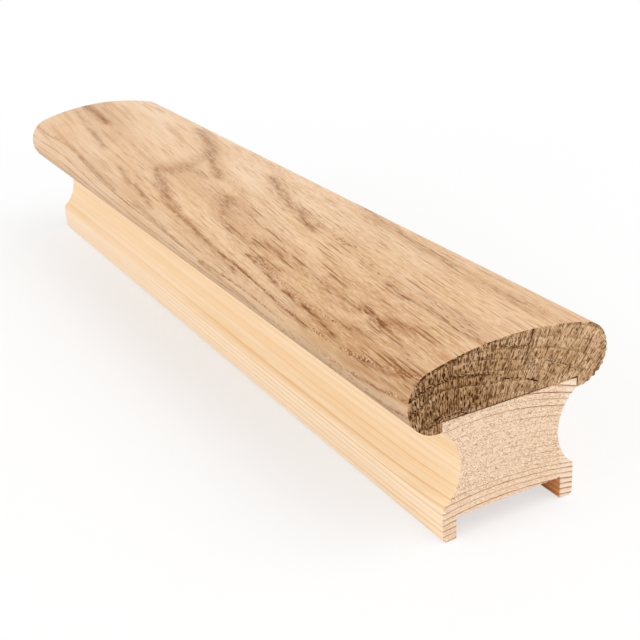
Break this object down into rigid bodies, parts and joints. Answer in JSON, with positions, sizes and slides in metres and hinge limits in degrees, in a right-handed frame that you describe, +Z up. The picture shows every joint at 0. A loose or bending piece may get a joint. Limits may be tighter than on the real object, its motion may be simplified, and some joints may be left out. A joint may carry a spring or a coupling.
{
  "type": "handrail",
  "caption": "Length of wooden stair handrail: a crowned oak cap with round sides, glued over a coved softwood base that has a baluster groove underneath.",
  "frame": {"origin": "under the middle of the rail, on the plane of its two feet", "axes": "+X along the rail, towards the end that the picture shows; +Y across it; +Z up, from the groove to the crown"},
  "size_m": [0.36, 0.0754, 0.065],
  "materials": {
    "oak": "planed and bare, with open grain",
    "pine": "planed and bare, straight grain"
  },
  "bodies": {
    "root": {"oak_cap": "oak", "pine_base": "pine"}
  },
  "joints": []
}
